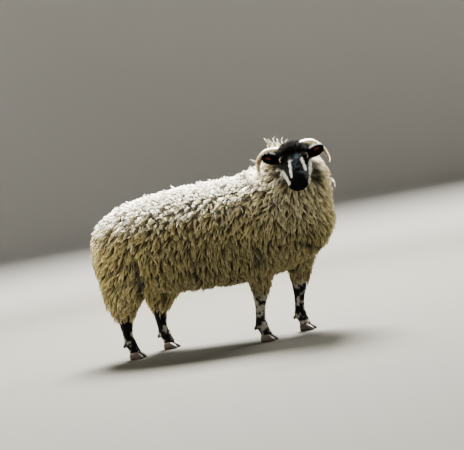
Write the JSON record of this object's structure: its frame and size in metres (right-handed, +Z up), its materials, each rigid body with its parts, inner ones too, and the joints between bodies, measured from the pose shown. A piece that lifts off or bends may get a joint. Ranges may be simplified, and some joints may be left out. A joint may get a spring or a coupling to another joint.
{
  "type": "sheep",
  "caption": "Black-faced horned hill ewe in long fleece, standing square with her head turned to her right.",
  "frame": {"origin": "on the floor, at the middle of the outline's box", "axes": "+X from rump to breast, +Y to the animal's left, +Z up"},
  "size_m": [1.1852, 0.5222, 0.804],
  "materials": {
    "wool": "coarse cream wool in long wavy locks",
    "black_hair": "short glossy black hair with white marks",
    "leg_hair": "short black and white mottled hair, woolly above knee and hock",
    "horn": "ringed straw-coloured horn, worn smooth",
    "claw_horn": "dark hoof horn",
    "eye_amber": "wet amber eye with a level dark pupil"
  },
  "bodies": {
    "root": {"trunk": "wool", "neck": "wool", "head": "black_hair", "tail": "wool", "ear_left": "black_hair", "eye_left": "eye_amber", "horn_left": "horn", "ear_right": "black_hair", "eye_right": "eye_amber", "horn_right": "horn", "leg_front_left": "leg_hair", "leg_front_right": "leg_hair", "leg_hind_left": "leg_hair", "leg_hind_right": "leg_hair", "claw_front_left_inner": "claw_horn", "dewclaw_front_left_inner": "claw_horn", "claw_front_left_outer": "claw_horn", "dewclaw_front_left_outer": "claw_horn", "claw_front_right_inner": "claw_horn", "dewclaw_front_right_inner": "claw_horn", "claw_front_right_outer": "claw_horn", "dewclaw_front_right_outer": "claw_horn", "claw_hind_left_inner": "claw_horn", "dewclaw_hind_left_inner": "claw_horn", "claw_hind_left_outer": "claw_horn", "dewclaw_hind_left_outer": "claw_horn", "claw_hind_right_inner": "claw_horn", "dewclaw_hind_right_inner": "claw_horn", "claw_hind_right_outer": "claw_horn", "dewclaw_hind_right_outer": "claw_horn"}
  },
  "joints": []
}
